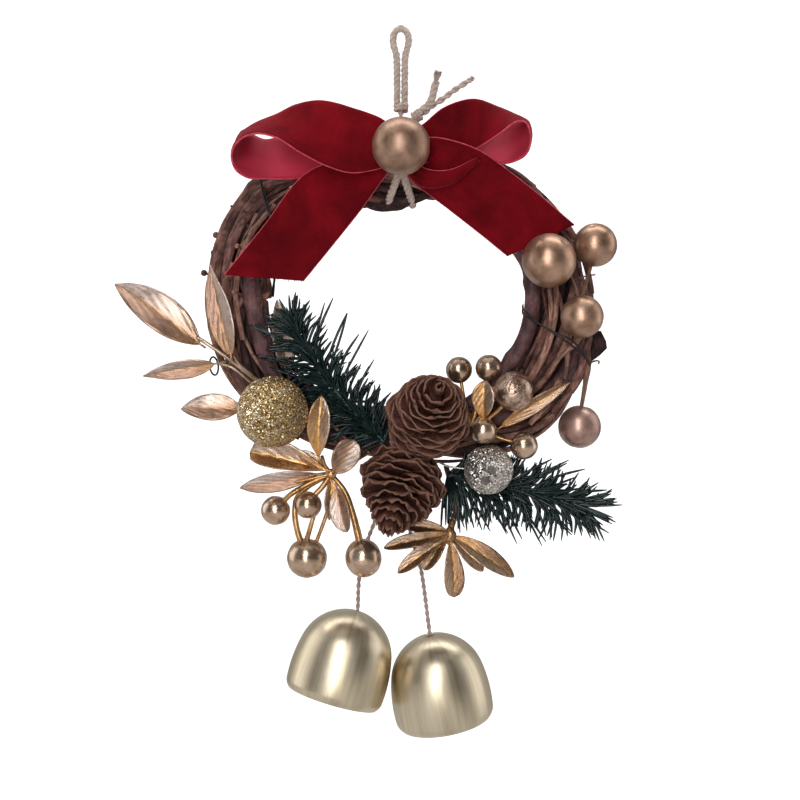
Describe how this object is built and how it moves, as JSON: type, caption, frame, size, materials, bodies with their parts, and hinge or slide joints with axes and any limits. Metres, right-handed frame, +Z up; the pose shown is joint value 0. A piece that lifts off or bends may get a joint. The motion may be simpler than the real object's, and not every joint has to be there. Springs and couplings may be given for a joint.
{
  "type": "christmas bell ornament",
  "caption": "Hanging twisted-vine ring with a velvet bow, gold berries, leaves, cones and glitter balls, and bells with clappers that swing, tilt and spin on cords.",
  "frame": {"origin": "where the hanging eye's inner top bears on a hook", "axes": "+Z up, -Y towards the viewer on the decorated front, +X to the viewer's right"},
  "size_m": [0.1885, 0.0795, 0.2714],
  "materials": {
    "ball_stems": "wrapped wire",
    "bell_cord_knot": "twisted fibre",
    "bell_cord_wrap": "twisted fibre",
    "binding_wire_left": "drawn",
    "binding_wire_right": "drawn",
    "bow_bead": "satin",
    "bow_centre_wrap": "velvet",
    "bow_left_loop": "velvet",
    "bow_left_tail": "velvet",
    "bow_right_loop": "velvet",
    "bow_right_tail": "velvet",
    "cone_lower": "dry",
    "cone_upper": "dry",
    "gold_glitter_ball": "glitter",
    "hanger_knot": "twisted fibre",
    "hanger_wrap": "twisted fibre",
    "hanging_loop": "twisted fibre",
    "knot_tails": "twisted fibre",
    "large_berry_1": "satin",
    "large_berry_2": "satin",
    "large_berry_3": "satin",
    "large_berry_4": "satin",
    "left_bell_cord": "twisted fibre",
    "left_bell_shell": "brushed",
    "left_clapper": "satin",
    "left_clapper_link": "drawn",
    "left_cluster_berries": "polished",
    "left_cluster_leaves": "metallic coat",
    "left_cluster_stems": "wrapped wire",
    "left_stop_knot": "twisted fibre",
    "low_cluster_leaves": "metallic coat",
    "low_cluster_stem": "wrapped wire",
    "pale_leaf": "metallic coat",
    "pine_sprig_left": "satin",
    "pine_sprig_right": "satin",
    "right_bell_cord": "twisted fibre",
    "right_bell_shell": "brushed",
    "right_clapper": "satin",
    "right_clapper_link": "drawn",
    "right_cluster_berries": "polished",
    "right_cluster_leaves": "metallic coat",
    "right_cluster_stems": "wrapped wire",
    "right_stop_knot": "twisted fibre",
    "silver_glitter_ball": "glitter",
    "small_wire_ring": "drawn",
    "spray_leaves": "metallic coat",
    "spray_stem": "wrapped wire",
    "vine_cane_1": "satin",
    "vine_cane_2": "satin",
    "vine_cane_3": "satin",
    "vine_cane_4": "satin",
    "vine_cane_5": "satin",
    "vine_cane_6": "satin",
    "vine_core": "satin",
    "vine_outer_1": "satin",
    "vine_outer_2": "satin",
    "vine_outer_3": "satin",
    "vine_outer_4": "satin",
    "vine_tendrils": "satin"
  },
  "bodies": {
    "hanger": {"hanging_loop": "hanging_loop"},
    "knot": {"hanger_knot": "hanger_knot", "knot_tails": "knot_tails"},
    "top_wrap": {"hanger_wrap": "hanger_wrap"},
    "bell_wrap": {"bell_cord_wrap": "bell_cord_wrap"},
    "bell_knot": {"bell_cord_knot": "bell_cord_knot"},
    "left_cord": {"left_bell_cord": "left_bell_cord"},
    "left_stop": {"left_stop_knot": "left_stop_knot"},
    "left_bell": {"left_bell_shell": "left_bell_shell"},
    "left_link": {"left_clapper_link": "left_clapper_link"},
    "left_striker": {"left_clapper": "left_clapper"},
    "right_cord": {"right_bell_cord": "right_bell_cord"},
    "right_stop": {"right_stop_knot": "right_stop_knot"},
    "right_bell": {"right_bell_shell": "right_bell_shell"},
    "right_link": {"right_clapper_link": "right_clapper_link"},
    "right_striker": {"right_clapper": "right_clapper"},
    "wreath": {"ball_stems": "ball_stems", "binding_wire_left": "binding_wire_left", "binding_wire_right": "binding_wire_right", "bow_bead": "bow_bead", "bow_centre_wrap": "bow_centre_wrap", "bow_left_loop": "bow_left_loop", "bow_left_tail": "bow_left_tail", "bow_right_loop": "bow_right_loop", "bow_right_tail": "bow_right_tail", "cone_lower": "cone_lower", "cone_upper": "cone_upper", "gold_glitter_ball": "gold_glitter_ball", "large_berry_1": "large_berry_1", "large_berry_2": "large_berry_2", "large_berry_3": "large_berry_3", "large_berry_4": "large_berry_4", "left_cluster_berries": "left_cluster_berries", "left_cluster_leaves": "left_cluster_leaves", "left_cluster_stems": "left_cluster_stems", "low_cluster_leaves": "low_cluster_leaves", "low_cluster_stem": "low_cluster_stem", "pale_leaf": "pale_leaf", "pine_sprig_left": "pine_sprig_left", "pine_sprig_right": "pine_sprig_right", "right_cluster_berries": "right_cluster_berries", "right_cluster_leaves": "right_cluster_leaves", "right_cluster_stems": "right_cluster_stems", "silver_glitter_ball": "silver_glitter_ball", "small_wire_ring": "small_wire_ring", "spray_leaves": "spray_leaves", "spray_stem": "spray_stem", "vine_cane_1": "vine_cane_1", "vine_cane_2": "vine_cane_2", "vine_cane_3": "vine_cane_3", "vine_cane_4": "vine_cane_4", "vine_cane_5": "vine_cane_5", "vine_cane_6": "vine_cane_6", "vine_core": "vine_core", "vine_outer_1": "vine_outer_1", "vine_outer_2": "vine_outer_2", "vine_outer_3": "vine_outer_3", "vine_outer_4": "vine_outer_4", "vine_tendrils": "vine_tendrils"}
  },
  "joints": [
    {"name": "wreath_turn", "type": "hinge", "parent": "hanger", "child": "knot", "pos_m": [0, 0, -0.03605], "axis": [0, 0, 1], "range_deg": [-90, 90]},
    {"name": "wreath_rock", "type": "hinge", "parent": "knot", "child": "top_wrap", "pos_m": [0, 0, -0.03605], "axis": [0, 1, 0], "range_deg": [-12, 12]},
    {"name": "wreath_tip", "type": "hinge", "parent": "top_wrap", "child": "wreath", "pos_m": [0, 0, -0.05326], "axis": [1, 0, 0], "range_deg": [-6, 6]},
    {"name": "bells_front_sway", "type": "hinge", "parent": "wreath", "child": "bell_wrap", "pos_m": [-0.00337, 0, -0.15197], "axis": [1, 0, 0], "range_deg": [-8, 25]},
    {"name": "bells_side_swing", "type": "hinge", "parent": "bell_wrap", "child": "bell_knot", "pos_m": [-0.0034, 0.0084, -0.16647], "axis": [0, 1, 0], "range_deg": [-15, 15]},
    {"name": "left_cord_swing", "type": "hinge", "parent": "bell_knot", "child": "left_cord", "pos_m": [-0.0034, 0.0084, -0.16647], "axis": [0, 1, 0], "range_deg": [0, 20]},
    {"name": "left_bell_tilt", "type": "hinge", "parent": "left_cord", "child": "left_stop", "pos_m": [-0.01665, 0.0084, -0.22128], "axis": [0, 1, 0], "range_deg": [0, 10]},
    {"name": "left_bell_spin", "type": "hinge", "parent": "left_stop", "child": "left_bell", "pos_m": [-0.01665, 0.0084, -0.22128], "axis": [0.284, 0, 0.9588], "continuous": true},
    {"name": "left_clapper_side", "type": "hinge", "parent": "left_stop", "child": "left_link", "pos_m": [-0.01757, 0.0084, -0.22439], "axis": [0, 1, 0], "range_deg": [-20, 45]},
    {"name": "left_clapper_front", "type": "hinge", "parent": "left_link", "child": "left_striker", "pos_m": [-0.01757, 0.0084, -0.23859], "axis": [1, 0, 0], "range_deg": [-25, 25]},
    {"name": "right_cord_swing", "type": "hinge", "parent": "bell_knot", "child": "right_cord", "pos_m": [-0.0034, 0.0084, -0.16647], "axis": [0, -1, 0], "range_deg": [0, 20]},
    {"name": "right_bell_tilt", "type": "hinge", "parent": "right_cord", "child": "right_stop", "pos_m": [0.01122, 0.0085, -0.23058], "axis": [0, -1, 0], "range_deg": [0, 10]},
    {"name": "right_bell_spin", "type": "hinge", "parent": "right_stop", "child": "right_bell", "pos_m": [0.01122, 0.0085, -0.23058], "axis": [-0.18, -0.174, 0.9681], "continuous": true},
    {"name": "right_clapper_side", "type": "hinge", "parent": "right_stop", "child": "right_link", "pos_m": [0.0118, 0.00906, -0.23373], "axis": [0, -1, 0], "range_deg": [-22, 35]},
    {"name": "right_clapper_front", "type": "hinge", "parent": "right_link", "child": "right_striker", "pos_m": [0.0118, 0.00906, -0.24793], "axis": [1, 0, 0], "range_deg": [-25, 25]}
  ]
}
